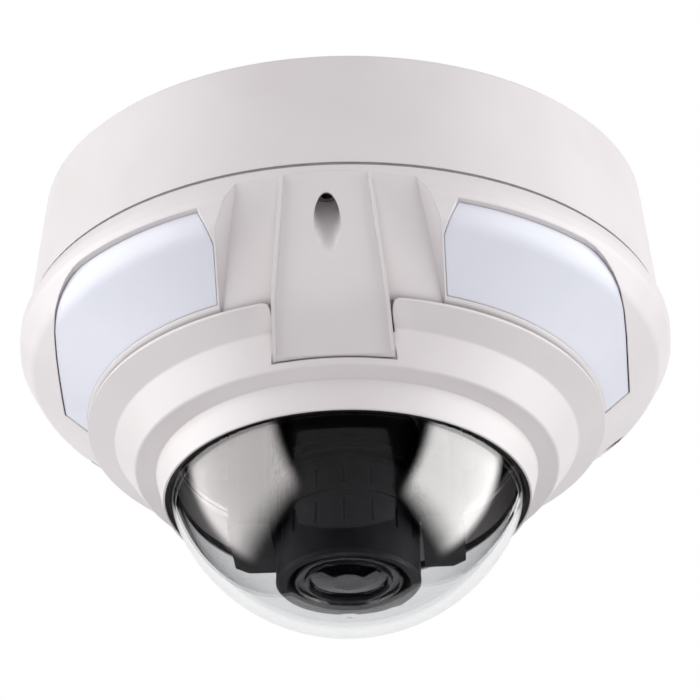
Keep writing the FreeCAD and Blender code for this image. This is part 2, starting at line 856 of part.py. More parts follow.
def window_form(label, inset, back):
    """A turned wall whose face follows the full wall, set back a little under its lip."""
    high = "(rim_low_depth - window_gap * 4)"
    low = "(foot_depth - window_gap)"
    face = "(window_set_back + %s)" % inset
    body = turned(label, [
        ("cover_rim_radius - window_lip_recess - " + inset, "-" + high),
        ("belly_radius - " + face, "-belly_depth"),
        ("foot_radius - " + face, "-" + low),
        ("foot_radius - " + back, "-" + low),
        ("belly_radius - " + back, "-belly_depth"),
        ("cover_rim_radius - " + back, "-" + high),
    ])
    return seam_in_front(round_corners(body, [1], "window_rounding - " + inset))


def make_windows():
    """Two milky caps, each a tray with a flange that lies behind the cover's wall."""
    wall_back = "(cover_wall + fit_gap)"
    flange_back = "(cover_wall + fit_gap + window_flange_thickness)"
    tray_form = window_form("window_tray_form", "0", flange_back)
    hollow_form = window_form("window_hollow_form", "window_wall", "(foot_radius / 2)")
    flange_form = seam_in_front(turned(
        "window_flange_form", belly_corners(wall_back) + belly_corners(flange_back)[::-1]))
    for side in ("left", "right"):
        tray = shared("window_tray_" + side, [
            tray_form, window_block("tray_block_" + side, side, "(-window_gap)")])
        flange = shared("window_flange_" + side, [
            flange_form,
            window_block("flange_block_" + side, side, "(-window_gap)", "window_flange_width")])
        hollow = shared("window_hollow_" + side, [
            hollow_form, window_block("hollow_block_" + side, side, "(-window_gap - window_wall)")])
        blank = joined("window_blank_" + side, [tray, flange])
        finish(cut("sensor_window_" + side, blank, hollow))


# ---------------------------------------------------------------------------------------
# Bezel ring, dome and seals
# ---------------------------------------------------------------------------------------

def notch_outline():
    """The notch for the panel's foot seen from the front, its mouth rounded on both sides."""
    gap = "panel_rib_width + notch_gap"
    half = "(panel_bend_half + %s)" % gap
    right = [("%s + notch_corner_radius" % half, "-cover_depth")]
    steps = 4
    for step in range(steps + 1):
        angle = 90.0 * step / steps
        right.append(("%s + notch_corner_radius * (1 - sin(%s))" % (half, angle),
                      "-(bezel_rim_depth - bezel_rim_edge + notch_corner_radius * (1 - cos(%s)))"
                      % angle))
    right.append(("panel_foot_half + " + gap, "-(panel_foot_depth + notch_gap)"))
    return right + mirrored(right)


def make_bezel_ring():
    """The ring that clamps the dome, with a notch for the foot of the front panel."""
    ledge = "-(flange_top_depth + dome_flange_thickness)"
    seat_gap = "fit_gap / 2"
    body = turned("bezel_blank", [
        ("bezel_rim_radius", "-bezel_rim_depth"),
        ("bezel_shoulder_radius", "-bezel_shoulder_depth"),
        ("bezel_step_radius", "-bezel_step_depth"),
        ("lip_root_radius", "-lip_root_depth"),
        ("lip_end_radius", "-lip_end_depth"),
        ("lip_end_radius - lip_end_width", "-lip_end_depth"),
        ("dome_radius + fit_gap", "-lip_bore_end_depth"),
        ("dome_radius + fit_gap", ledge),
        ("dome_flange_radius + fit_gap", ledge),
        ("dome_flange_radius + fit_gap", "-seat_depth"),
        ("neck_radius + " + seat_gap, "-seat_depth"),
        ("bezel_shoulder_radius - seat_step_across + " + seat_gap,
         "-(bezel_shoulder_depth - seat_step_up + %s)" % seat_gap),
        ("waist_radius + fit_gap", "-(waist_depth + fit_gap)"),
        ("bezel_rim_radius - fit_gap", "-(bezel_rim_depth - bezel_rim_edge)"),
    ])
    round_corners(body, [1, 2], "bezel_rounding")
    back_slope = "(bend_back_radius - foot_back_radius) / (panel_foot_depth + panel_cap - panel_bend_depth)"
    seat_back = "bend_back_radius - (seat_depth - panel_bend_depth) * %s - notch_gap" % back_slope
    notch_side = side_body("notch_side", [
        panel_back("notch_gap")[0],
        (seat_back, "-seat_depth"),
        ("dome_radius", "-seat_depth"),
        ("dome_radius", "-cover_depth"),
        ("form_reach", "-cover_depth"),
        ("form_reach", "-(panel_foot_depth + panel_cap)"),
    ], "panel_foot_half * 4")
    notch = shared("notch", [notch_side, prism("notch_front", notch_outline())])
    cuts = [notch]
    for number, turn in enumerate(even_turns("corner_count", 45.0), start=1):
        place = turned_place("bezel_screw_circle_radius", turn)
        cuts.append(cylinder("bezel_screw_pilot_%d" % number, "bezel_screw_radius + screw_clearance",
                             "-(seat_depth + bezel_screw_reach)", "bezel_screw_reach", *place))
    return finish(cut("bezel_ring", body, joined("bezel_cuts", cuts)))


def half_ball(label, radius, depth):
    """The lower half of a ball whose centre lies on the axis at a depth."""
    ball = document.addObject("Part::Sphere", label)
    ball.Label = label
    ball.Angle1 = -90.0
    ball.Angle2 = 0.0
    return bind(ball, Radius=radius, Placement__Base__z="-" + depth)


def make_dome_bubble():
    """A clear half ball on a short neck with a clamping flange."""
    inner = "(dome_radius - dome_wall)"
    neck = "(dome_centre_depth - flange_top_depth)"
    outside = joined("dome_outside", [
        half_ball("dome_outer_ball", "dome_radius", "dome_centre_depth"),
        cylinder("dome_neck", "dome_radius", "-dome_centre_depth", neck),
        cylinder("dome_flange", "dome_flange_radius",
                 "-(flange_top_depth + dome_flange_thickness)", "dome_flange_thickness"),
    ])
    inside = joined("dome_inside", [
        half_ball("dome_inner_ball", inner, "dome_centre_depth"),
        cylinder("dome_bore", inner, "-dome_centre_depth", neck + " + 1"),
    ])
    return finish(cut("dome_bubble", outside, inside))


def make_dome_seals():
    """A flat gasket over the dome's flange and a lip seal at the bezel's mouth."""
    finish(turned("dome_gasket", [
        ("dome_opening_radius", "-seat_depth"),
        ("dome_flange_radius", "-seat_depth"),
        ("dome_flange_radius", "-flange_top_depth"),
        ("dome_opening_radius", "-flange_top_depth"),
    ]))
    low = "(lip_end_depth - seal_set_back)"
    high = "(lip_end_depth - seal_height)"

    def ball_radius(depth):
        drop = "(%s - dome_centre_depth)" % depth
        return "sqrt(dome_radius * dome_radius - %s * %s)" % (drop, drop)

    def lip_radius(depth):
        run = "(dome_radius + fit_gap - lip_end_radius + lip_end_width)"
        fall = "(%s - lip_bore_end_depth) / (lip_end_depth - lip_bore_end_depth)" % depth
        return "(dome_radius + fit_gap - %s * %s)" % (run, fall)

    finish(turned("dome_seal", [
        (ball_radius(low) + " + seal_clearance", "-" + low),
        (lip_radius(low) + " - seal_clearance", "-" + low),
        (lip_radius(high) + " - seal_clearance", "-" + high),
        (ball_radius(high) + " + seal_clearance", "-" + high),
    ]))


def make_inner_liner():
    """The black funnel that hides the works round the gimbal."""
    top = "(seat_depth - seat_thickness)"
    rim = "(seat_depth - fit_gap)"
    return finish(turned("inner_liner", [
        ("liner_flange_radius", "-" + top),
        ("liner_flange_radius", "-(%s - liner_wall)" % top),
        ("dome_opening_radius - liner_wall - fit_gap", "-(%s - liner_wall)" % top),
        ("liner_throat_radius + liner_wall / 2", "-(liner_top_depth - liner_wall)"),
        ("liner_mouth_radius", "-(liner_top_depth - liner_wall)"),
        ("liner_mouth_radius", "-liner_top_depth"),
        ("liner_throat_radius", "-liner_top_depth"),
        ("dome_opening_radius - liner_wall - fit_gap * 2", "-" + rim),
        ("dome_opening_radius - fit_gap", "-" + rim),
        ("dome_opening_radius - fit_gap", "-" + top),
    ]))


# ---------------------------------------------------------------------------------------
# Screws
# ---------------------------------------------------------------------------------------

def screw(label, kind, low, head_height, reach, place):
    """A screw that points up, with its head below and a hexagon socket in the head."""
    across, along = place
    solid = joined(label + "_solid", [
        cylinder(label + "_head", kind + "_head_radius", low, head_height, across, along),
        cylinder(label + "_shank", kind + ("_shank_radius" if kind == "screw" else "_radius"), low,
                 "%s + %s" % (head_height, reach), across, along),
    ])
    drive = document.addObject("Part::Prism", label + "_socket")
    drive.Polygon = 6
    bind(drive, Circumradius=kind + "_socket_radius", Height=head_height + " / 2",
         Placement__Base__x=across, Placement__Base__y=along, Placement__Base__z=low)
    return cut(label, solid, drive)


def make_screw_groups():
    """Cover screws in the wells, bezel screws from inside, and screws in the four posts."""
    cover_screws = []
    floor = "(cover_depth + well_floor_thickness)"
    for number, turn in enumerate(even_turns("cover_screw_count"), start=1):
        cover_screws.append(screw(
            "cover_screw_%d" % number, "screw", "-(%s + screw_head_height)" % floor,
            "screw_head_height", "well_floor_thickness + screw_reach - screw_tip_gap",
            turned_place("screw_circle_radius", turn)))
    bezel_screws = []
    plate_screws = []
    length = "seat_thickness + bezel_screw_reach - fit_gap"
    for number, turn in enumerate(even_turns("corner_count", 45.0), start=1):
        place = turned_place("bezel_screw_circle_radius", turn)
        bezel_screws.append(joined("bezel_screw_%d" % number, [
            cylinder("bezel_screw_head_%d" % number, "bezel_screw_head_radius",
                     "-(seat_depth - seat_thickness)", "bezel_screw_head_height", *place),
            cylinder("bezel_screw_shank_%d" % number, "bezel_screw_radius",
                     "-(seat_depth + bezel_screw_reach - fit_gap)", length, *place),
        ]))
        plate_screws.append(screw(
            "plate_screw_%d" % number, "plate_screw",
            "-(chassis_depth + chassis_thickness + plate_screw_head_height)",
            "plate_screw_head_height", "chassis_thickness + plate_screw_reach",
            turned_place("post_circle_radius", turn)))
    finish(group("cover_screws", cover_screws))
    finish(group("bezel_screws", bezel_screws))
    finish(group("plate_screws", plate_screws))


# ---------------------------------------------------------------------------------------
# Chassis plate, boards and what they carry
# ---------------------------------------------------------------------------------------

def make_chassis_plate():
    """A pressed plate on the posts; its two front arms bend down behind the windows."""
    low = "-(chassis_depth + chassis_thickness)"
    body = new_body("chassis_plate")
    raised(body, "chassis_disc", circles=[("0", "0", "chassis_radius")], base=low,
           height="chassis_thickness")

    def diagonal_patch(near, far, sign=""):
        """Corners of a patch that straddles a front diagonal, on the +X or the -X side."""
        return [("%s(%s %s chassis_arm_half) * diagonal" % (sign, out, side),
                 "(-%s %s chassis_arm_half) * diagonal" % (out, side))
                for out, side in ((near, "-"), (far, "-"), (far, "+"), (near, "+"))]

    arm = raised(body, "chassis_arm",
                 outlines=[diagonal_patch("chassis_arm_start", "chassis_arm_reach")],
                 base=low, height="chassis_thickness")
    around(body, "chassis_arms", [arm])
    tab_inner = "(chassis_arm_reach - chassis_thickness)"
    raised(body, "chassis_tabs",
           outlines=[diagonal_patch(tab_inner, "chassis_arm_reach", sign) for sign in ("", "-")],
           base="-(chassis_depth + chassis_tab_drop)", height="chassis_tab_drop")
    raised(body, "hub_opening", circles=[("0", "0", "hub_radius + running_clearance")], base=low,
           height="chassis_thickness", kind="Pocket")
    holes = [(across, along, "plate_screw_radius + screw_clearance + fit_gap")
             for across, along in post_places()]
    raised(body, "post_holes", circles=holes, base=low, height="chassis_thickness", kind="Pocket")
    return finish(body)


def make_main_board():
    """The round main board, cut flat beside the cable entry."""
    low = "-(board_depth + board_thickness)"
    disc = cylinder("board_disc", "board_radius", low, "board_thickness")
    tools = [block("board_trim", ("form_reach * 2", "form_reach", "board_thickness"),
                   ("-form_reach", "board_flat_offset", low))]
    for number, place in enumerate(post_places(), start=1):
        tools.append(cylinder("board_hole_%d" % number, "post_radius + plate_clearance", low,
                              "board_thickness", *place))
    return finish(cut("main_board", disc, joined("board_cuts", tools)))


def make_board_spacers():
    low = "-chassis_depth"
    tall = "chassis_depth - board_depth - board_thickness"
    spacers = []
    for number, place in enumerate(post_places(), start=1):
        tag = "_%d" % number
        spacers.append(cut("spacer" + tag,
                           cylinder("spacer_tube" + tag, "post_radius + plate_clearance + spacer_wall",
                                    low, tall, *place),
                           cylinder("spacer_bore" + tag, "post_radius + plate_clearance / 2",
                                    low, tall, *place)))
    return finish(group("board_spacers", spacers))


def hung_block(label, kind, left, front, drop="0"):
    """A box of a named width, length and height that hangs under the main board."""
    under = "(board_depth + board_thickness + %s)" % drop
    return block(label, (kind + "_width", kind + "_length", kind + "_height"),
                 (left, front, "-(%s + %s_height)" % (under, kind)))


def make_network_jack():
    """The jack, open towards the cable entry."""
    shell = hung_block("jack_shell", "jack", "-jack_width / 2", "board_flat_offset - jack_length")
    socket = hung_block("jack_opening", "jack_socket", "-jack_socket_width / 2",
                        "board_flat_offset - jack_socket_length", "jack_wall")
    return finish(cut("network_jack", shell, socket))


def make_power_terminal():
    """A two-way screw terminal beside the jack."""
    front = "board_flat_offset - terminal_length - fit_gap"
    body = hung_block("terminal_block", "terminal", "terminal_offset", front)
    low = "-(board_depth + board_thickness + terminal_height)"
    cuts = []
    for way in ("terminal_width / 4", "terminal_width * 3 / 4"):
        number = len(cuts)
        cuts.append(cylinder("terminal_screw_hole_%d" % number, "terminal_screw_radius", low,
                             "terminal_height / 4", "terminal_offset + " + way,
                             front + " + terminal_length / 3"))
        cuts.append(hung_block("wire_entry_%d" % number, "wire_entry",
                               "terminal_offset + %s - wire_entry_width / 2" % way,
                               "board_flat_offset - wire_entry_length", "board_thickness"))
    return finish(cut("power_terminal", body, joined("terminal_cuts", cuts)))


def make_processor_cooler():
    """A finned cooler on the processor."""
    pieces = [hung_block("cooler_base", "cooler", "-cooler_width / 2", "cooler_offset")]
    fins = int(SIZES["fin_count"])
    for number in range(fins):
        left = "(cooler_width - fin_width) * %s - cooler_width / 2" % (number / (fins - 1.0))
        pieces.append(hung_block("cooler_fin_%d" % number, "fin", left, "cooler_offset",
                                 "cooler_height"))
    return finish(joined("processor_cooler", pieces))


def make_card_holder():
    """The memory card's holder, open at the board's edge side."""
    left = "(0 - card_offset)"
    shell = hung_block("card_shell", "card", left, "-card_length / 2")
    slot = hung_block("card_slot", "card_slot", left, "-card_slot_length / 2",
                      "(card_height - card_slot_height) / 2")
    return finish(cut("card_holder", shell, slot))


def make_reset_switch():
    """The reset switch and the button that travels in its well."""
    low = "(board_depth + board_thickness + switch_height)"
    body = hung_block("switch_body", "switch", "switch_offset - switch_width / 2",
                      "-switch_length / 2")
    well = cylinder("switch_well", "button_radius + running_clearance", "-" + low,
                    "switch_height - switch_floor", "switch_offset")
    finish(cut("reset_switch", body, well))
    finish(cylinder(
        "reset_button", "button_radius", "-(%s + button_rise)" % low,
        "switch_height - switch_floor + button_rise - button_travel - button_rest_gap",
        "switch_offset"))


def make_motion_detectors():
    """A detector and its board on each front tab of the chassis plate."""
    face = "(chassis_arm_reach + board_thickness)"
    for side, turn in (("right", 45.0), ("left", -45.0)):
        board = block("detector_board_" + side,
                      ("tab_board_half * 2", "board_thickness", "tab_board_height"),
                      ("-tab_board_half", "-" + face, "-(chassis_depth + tab_board_height + fit_gap)"))
        can = document.addObject("Part::Cylinder", "detector_can_" + side)
        bind(can, Radius="detector_radius", Height="detector_height",
             Placement__Base__y="-" + face,
             Placement__Base__z="-(chassis_depth + tab_board_height / 2 + fit_gap)")
        can.Placement.Rotation = FreeCAD.Rotation(FreeCAD.Vector(1, 0, 0), 90)
        detector = joined("motion_detector_" + side, [board, can])
        detector.Placement.Rotation = FreeCAD.Rotation(FreeCAD.Vector(0, 0, 1), turn)
        finish(detector)


# ---------------------------------------------------------------------------------------
# Gimbal: pan yoke, tilt ring, roll sleeve
# ---------------------------------------------------------------------------------------



def make_pan_yoke():
    """The turntable under the chassis plate with its two thick cheeks."""
    plate_low = "(yoke_top_depth + yoke_thickness)"
    body = new_body("pan_yoke")
    raised(body, "yoke_plate", circles=[("0", "0", "yoke_radius")], base="-" + plate_low,
           height="yoke_thickness")
    raised(body, "yoke_hub", circles=[("0", "0", "hub_radius")], base="-yoke_top_depth",
           height="yoke_top_depth - retainer_low_depth")
    outer = "(cheek_inner + cheek_thickness)"
    cheek = [
        ("cheek_inner", "-cheek_half_depth"),
        (outer + " - cheek_corner_cut", "-cheek_half_depth"),
        (outer, "-(cheek_half_depth - cheek_corner_cut)"),
        (outer, "cheek_half_depth - cheek_corner_cut"),
        (outer + " - cheek_corner_cut", "cheek_half_depth"),
        ("cheek_inner", "cheek_half_depth"),
    ]
    wing = raised(body, "yoke_cheek", outlines=[cheek], base="-cheek_bottom_depth",
                  height="cheek_bottom_depth - " + plate_low)
    pattern = around(body, "yoke_cheeks", [wing], "2")
    raised(body, "hub_bore", circles=[("0", "0", "hub_bore_radius")], base="-" + plate_low,
           height=plate_low + " - retainer_low_depth", kind="Pocket")
    pivot = body_sketch(body, "pivot_hole_profile", "YZ_Plane", circles=[
        ("0", "-dome_centre_depth", "pivot_radius + running_clearance")])
    bore = body.newObject("PartDesign::Pocket", "pivot_holes")
    bore.Profile = pivot
    bore.Type = "ThroughAll"
    bore.Midplane = True
    body.Tip = bore
    return finish(body)


def make_pan_retainer():
    """The washer that hangs the turntable from the chassis plate."""
    return finish(turned("pan_retainer", [
        ("hub_bore_radius", "-retainer_low_depth"),
        ("retainer_radius", "-retainer_low_depth"),
        ("retainer_radius", "-(retainer_low_depth - retainer_thickness)"),
        ("hub_bore_radius", "-(retainer_low_depth - retainer_thickness)"),
    ]))


def make_tilt_ring():
    half = "(tilt_ring_height / 2)"
    tube = turned("tilt_ring_tube", [
        ("sleeve_radius + running_clearance", "-(dome_centre_depth + %s)" % half),
        ("tilt_ring_outer", "-(dome_centre_depth + %s)" % half),
        ("tilt_ring_outer", "-(dome_centre_depth - %s)" % half),
        ("sleeve_radius + running_clearance", "-(dome_centre_depth - %s)" % half),
    ])
    socket = cross_cylinder("tilt_socket", "pivot_radius - pivot_shoulder + running_clearance",
                            "-form_reach", "form_reach * 2")
    return finish(cut("tilt_ring", tube, socket))


def cross_cylinder(label, radius, start, length):
    """A cylinder along X on the tilt axis."""
    solid = document.addObject("Part::Cylinder", label)
    bind(solid, Radius=radius, Height=length, Placement__Base__x=start,
         Placement__Base__z="-dome_centre_depth")
    solid.Placement.Rotation = FreeCAD.Rotation(FreeCAD.Vector(0, 1, 0), 90)
    return solid


def make_tilt_pivots():
    """Two shoulder screws that turn in the cheeks and hold the tilt ring."""
    tip = "(sleeve_radius + 3 * running_clearance)"
    shoulder = "(tilt_ring_outer + pivot_seat_gap)"
    outer = "(cheek_inner + cheek_thickness + fit_gap)"
    end = "(%s + pivot_head_thickness)" % outer
    steps = (
        ("tip", "(pivot_radius - pivot_shoulder)", tip, shoulder),
        ("shank", "pivot_radius", shoulder, outer),
        ("head", "pivot_head_radius", outer, end),
    )
    pivots = []
    for side in ("right", "left"):
        pieces = []
        for step, radius, near, far in steps:
            start = near if side == "right" else "-" + far
            pieces.append(cross_cylinder("pivot_%s_%s" % (step, side), radius, start,
                                         "%s - %s" % (far, near)))
        pivots.append(joined("tilt_pivot_" + side, pieces))
    return finish(group("tilt_pivots", pivots))


def make_lens_sleeve():
    """The sleeve that rolls in the tilt ring and carries the sensor and the lens."""
    return finish(turned("lens_sleeve", [
        ("sleeve_radius", "-sleeve_top_depth"),
        ("sleeve_radius", "-ring_low_depth"),
        ("sleeve_flange_radius", "-ring_low_depth"),
        ("sleeve_flange_radius", "-sleeve_foot_depth"),
        ("lens_thread_radius + running_clearance", "-sleeve_foot_depth"),
        ("lens_thread_radius + running_clearance", "-sleeve_cavity_end_depth"),
        ("sleeve_cavity_radius", "-sleeve_cavity_end_depth"),
        ("sleeve_cavity_radius", "-sleeve_top_depth"),
    ]))


def make_sleeve_clip():
    """The clip that keeps the sleeve in the tilt ring."""
    inner = "(sleeve_radius + pivot_seat_gap)"
    return finish(turned("sleeve_clip", [
        (inner, "-ring_high_depth"),
        ("sleeve_flange_radius", "-ring_high_depth"),
        ("sleeve_flange_radius", "-(ring_high_depth - clip_thickness)"),
        (inner, "-(ring_high_depth - clip_thickness)"),
    ]))


def make_rear_cap():
    """The cap over the sleeve's end, with a skirt that presses on the sensor board."""
    cap_top = "(sleeve_top_depth - rear_cap_thickness)"
    skirt = "(sleeve_cavity_radius - sleeve_play)"
    return finish(turned("rear_cap", [
        ("cable_hole_radius", "-" + cap_top),
        ("sleeve_radius - rear_cap_thickness / 2", "-" + cap_top),
        ("sleeve_radius", "-(%s + rear_cap_thickness / 2)" % cap_top),
        ("sleeve_radius", "-sleeve_top_depth"),
        (skirt, "-sleeve_top_depth"),
        (skirt, "-sensor_board_depth"),
        (skirt + " - skirt_wall", "-sensor_board_depth"),
        (skirt + " - skirt_wall", "-sleeve_top_depth"),
        ("cable_hole_radius", "-sleeve_top_depth"),
    ]))


def make_image_sensor():
    """The sensor's board and chip, and the ring that holds them off the sleeve's floor."""
    low = "(sensor_board_depth + board_thickness)"
    outer = "(sleeve_cavity_radius - sleeve_play)"
    board = cylinder("sensor_board_disc", outer, "-" + low, "board_thickness")
    chip = block("sensor_chip", ("sensor_chip_half * 2", "sensor_chip_half * 2", "sensor_chip_height"),
                 ("-sensor_chip_half", "-sensor_chip_half", "-(%s + sensor_chip_height)" % low))
    finish(joined("image_sensor", [board, chip]))
    finish(turned("sensor_spacer", [
        (outer + " - sensor_spacer_wall", "-" + low),
        (outer, "-" + low),
        (outer, "-sleeve_cavity_end_depth"),
        (outer + " - sensor_spacer_wall", "-sleeve_cavity_end_depth"),
    ]))


# ---------------------------------------------------------------------------------------
# Lens
# ---------------------------------------------------------------------------------------



def make_lens_barrel():
    """The fixed tube that screws into the sleeve and carries the two rings."""
    top = "-(sleeve_cavity_end_depth + fit_gap)"
    flange_low = "-(barrel_flange_depth + barrel_flange_thickness)"
    collar_low = "-(collar_top_depth + collar_thickness)"
    end = "-(front_bezel_depth - fit_gap - front_lens_edge)"
    return finish(turned("lens_barrel", [
        ("lens_bore_radius", top),
        ("lens_thread_radius", top),
        ("lens_thread_radius", "-barrel_flange_depth"),
        ("barrel_flange_radius", "-barrel_flange_depth"),
        ("barrel_flange_radius", flange_low),
        ("barrel_radius", flange_low),
        ("barrel_radius", "-collar_top_depth"),
        ("barrel_flange_radius", "-collar_top_depth"),
        ("barrel_flange_radius", collar_low),
        ("barrel_radius", collar_low),
        ("barrel_radius", end),
        ("barrel_radius - barrel_mouth_wall", end),
        ("lens_bore_radius", "-(barrel_flange_depth + bore_depth)"),
    ]))


def gripped_ring(label, corners, radius, margin, low, high):
    """A turned ring with a row of finger grooves round it, clear of both ends by a margin."""
    ring = turned(label + "_blank", corners)
    grooves = []
    for number, turn in enumerate(even_turns("grip_count")):
        place = turned_place("(%s + grip_width / 2 - grip_depth)" % radius, turn)
        grooves.append(cylinder("%s_groove_%d" % (label, number), "grip_width / 2",
                                "-(%s - %s)" % (low, margin),
                                "%s - %s - 2 * %s" % (low, high, margin), *place))
    return finish(cut(label, ring, group(label + "_grooves", grooves)))


def make_lens_rings():
    """The zoom ring, and the focus ring whose front end frames the front lens."""
    inner = "(barrel_radius + running_clearance)"
    gripped_ring("zoom_ring", [
        (inner, "-zoom_top_depth"),
        ("zoom_ring_radius", "-zoom_top_depth"),
        ("zoom_ring_radius", "-zoom_low_depth"),
        (inner, "-zoom_low_depth"),
    ], "zoom_ring_radius", "grip_margin", "zoom_low_depth", "zoom_top_depth")
    gripped_ring("focus_ring", [
        (inner, "-focus_top_depth"),
        ("focus_ring_radius", "-focus_top_depth"),
        ("focus_ring_radius", "-(lens_face_depth - focus_ring_edge)"),
        ("focus_ring_radius - focus_ring_edge", "-lens_face_depth"),
        ("front_bezel_radius + front_bezel_slope", "-lens_face_depth"),
        (inner, "-front_bezel_depth"),
    ], "focus_ring_radius", "grip_margin", "(focus_top_depth + grip_length)", "focus_top_depth")


def make_front_lens():
    """The domed front glass, its edge held inside the focus ring."""
    edge = "barrel_radius - lens_edge_gap"
    return finish(turned("front_lens", [
        ("0", "-(front_bezel_depth - front_lens_edge)"),
        (edge, "-(front_bezel_depth - front_lens_edge)"),
        (edge, "-front_bezel_depth"),
        ("front_lens_radius * 2 / 3", "-(front_bezel_depth + front_lens_crown * 2 / 3)"),
        ("front_lens_radius / 3", "-(front_bezel_depth + front_lens_crown)"),
        ("0", "-(front_bezel_depth + front_lens_crown)"),
    ]))


# ---------------------------------------------------------------------------------------
# Build, check and write
# ---------------------------------------------------------------------------------------

make_base_housing()
make_base_gasket()
make_cable_grommet()
make_cover_housing()
make_windows()
make_bezel_ring()
make_dome_bubble()
make_dome_seals()
make_inner_liner()
make_screw_groups()
make_chassis_plate()
make_main_board()
make_board_spacers()
make_network_jack()
make_power_terminal()
make_processor_cooler()
make_card_holder()
make_reset_switch()
make_motion_detectors()
make_pan_yoke()
make_pan_retainer()
make_tilt_ring()
make_tilt_pivots()
make_lens_sleeve()
make_sleeve_clip()
make_rear_cap()
make_image_sensor()
make_lens_barrel()
make_lens_rings()
make_front_lens()
document.recompute()

for thing in document.Objects:
    if "Invalid" in thing.State or "Error" in thing.State:
        raise RuntimeError("%s did not build: %s" % (thing.Label, thing.State))

os.makedirs("parts", exist_ok=True)
for piece in finished:
    shape = piece.Shape
    if shape.isNull() or not shape.isValid():
        raise RuntimeError("%s has no sound shape" % piece.Label)
    shape.exportStep("parts/%s.step" % piece.Label)
    print("%-20s %2d solid(s) %10.1f mm3" % (piece.Label, len(shape.Solids), shape.Volume))
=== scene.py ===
# %% [markdown]
# A ceiling camera with motion sensors, dressed for a studio.
# The shapes come from a fixed model, so this lesson is about finishes, light and small trim:
# how a powder-coated casting, a milky sensor window, a clear dome and a zoom lens are made
# to look like what they are.

# %% Load the model
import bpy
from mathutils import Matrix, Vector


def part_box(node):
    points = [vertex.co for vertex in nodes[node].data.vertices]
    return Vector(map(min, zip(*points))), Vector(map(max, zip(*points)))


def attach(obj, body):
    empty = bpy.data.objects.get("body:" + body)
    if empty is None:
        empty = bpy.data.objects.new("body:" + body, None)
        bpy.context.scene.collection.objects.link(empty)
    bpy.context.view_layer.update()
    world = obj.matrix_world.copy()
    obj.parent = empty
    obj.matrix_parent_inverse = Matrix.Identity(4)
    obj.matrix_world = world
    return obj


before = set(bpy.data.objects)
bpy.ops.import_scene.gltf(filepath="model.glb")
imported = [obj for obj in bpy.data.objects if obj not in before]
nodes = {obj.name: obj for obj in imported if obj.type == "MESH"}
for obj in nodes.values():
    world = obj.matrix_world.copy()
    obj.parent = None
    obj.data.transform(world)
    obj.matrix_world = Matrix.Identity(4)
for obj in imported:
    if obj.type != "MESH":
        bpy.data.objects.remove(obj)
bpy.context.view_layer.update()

import math
import bmesh
import bpy
from mathutils import Matrix, Quaternion, Vector

scene = bpy.context.scene
MM = 0.001
print("pieces of the model:", len(nodes))

# %% [markdown]
# The camera hangs from a ceiling, so the person who looks at it stands below. The view comes
# from thirty degrees under the horizon with a long lens, because a long lens keeps the round
# rim from bulging. The place is worked out from two angles and a distance, which is easier to
# change later than three numbers, and the lamps are placed in the same way.

# %% Camera
AIM = Vector((1.1 * MM, 0.0, -39.6 * MM))
VIEW_ACROSS, VIEW_UP, VIEW_LEAN = 3.0, -30.0, -0.8
VIEW_DISTANCE = 1.8
VIEW_SPAN = 172.2 * MM
FILM_WIDTH = 36.0
NEAR, FAR = 0.05, 60.0


def direction(across, up):
    """The way out from the object at two angles in degrees: to the right, and above the horizon."""
    turn, rise = math.radians(across), math.radians(up)
    return Vector((math.sin(turn) * math.cos(rise), -math.cos(turn) * math.cos(rise), math.sin(rise)))


eye = direction(VIEW_ACROSS, VIEW_UP)
lean = Matrix.Rotation(math.radians(VIEW_LEAN), 3, "Z")
lens_data = bpy.data.cameras.new("studio_camera")
lens_data.sensor_width = FILM_WIDTH
lens_data.lens = FILM_WIDTH * VIEW_DISTANCE / VIEW_SPAN
lens_data.clip_start, lens_data.clip_end = NEAR, FAR
camera = bpy.data.objects.new("studio_camera", lens_data)
scene.collection.objects.link(camera)
camera.rotation_mode = "QUATERNION"
camera.location = AIM + eye * VIEW_DISTANCE
camera.rotation_quaternion = (-eye).to_track_quat("-Z", "Y") @ lean.to_quaternion()
scene.camera = camera
scene.view_settings.view_transform = "Standard"
print("focal length in mm:", round(lens_data.lens))

# %% [markdown]
# A finish is a small graph of nodes. Every graph here starts from the same few blocks, so they
# get short helpers. The first three make a fresh finish, add one node to it, and do one sum.

# %% Helpers for graphs
def new_finish(name):
    """A fresh material, with its node tree and its Principled shader."""
    finish = bpy.data.materials.new(name)
    finish.use_nodes = True
    tree = finish.node_tree
    return finish, tree, tree.nodes["Principled BSDF"]


def add(tree, kind, links=(), **settings):
    """Adds a node. links are (socket, source) pairs; settings are properties or inputs."""
    node = tree.nodes.new("ShaderNode" + kind)
    for name, value in settings.items():
        if hasattr(node, name):
            setattr(node, name, value)
        else:
            node.inputs[name.replace("_", " ")].default_value = value
    for socket, source in links:
        tree.links.new(source, node.inputs[socket])
    return node


def reckon(tree, operation, *sides):
    """One sum. Each side of it is a plain number or the output of another node."""
    node = add(tree, "Math", operation=operation)
    for place, side in enumerate(sides):
        if isinstance(side, float):
            node.inputs[place].default_value = side
        else:
            tree.links.new(side, node.inputs[place])
    return node.outputs[0]


# %% [markdown]
# No real surface has one flat colour or one even gloss. Noise with patches of a real size
# drives both: two close tones for the colour, a low and a high value for the roughness, and a
# relief in metres for the texture that a finger would feel. Painted images could do this too,
# but noise has no seams and stays sharp at any distance.

# %% Helpers for surfaces
def grain(tree, size, detail=3.0, fineness=0.55):
    """Noise whose patches are about size metres across, on the piece's own coordinates."""
    place = add(tree, "TexCoord")
    noise = add(tree, "TexNoise", [("Vector", place.outputs["Object"])],
                Scale=1.0 / size, Detail=detail, Roughness=fineness)
    return noise.outputs["Fac"]


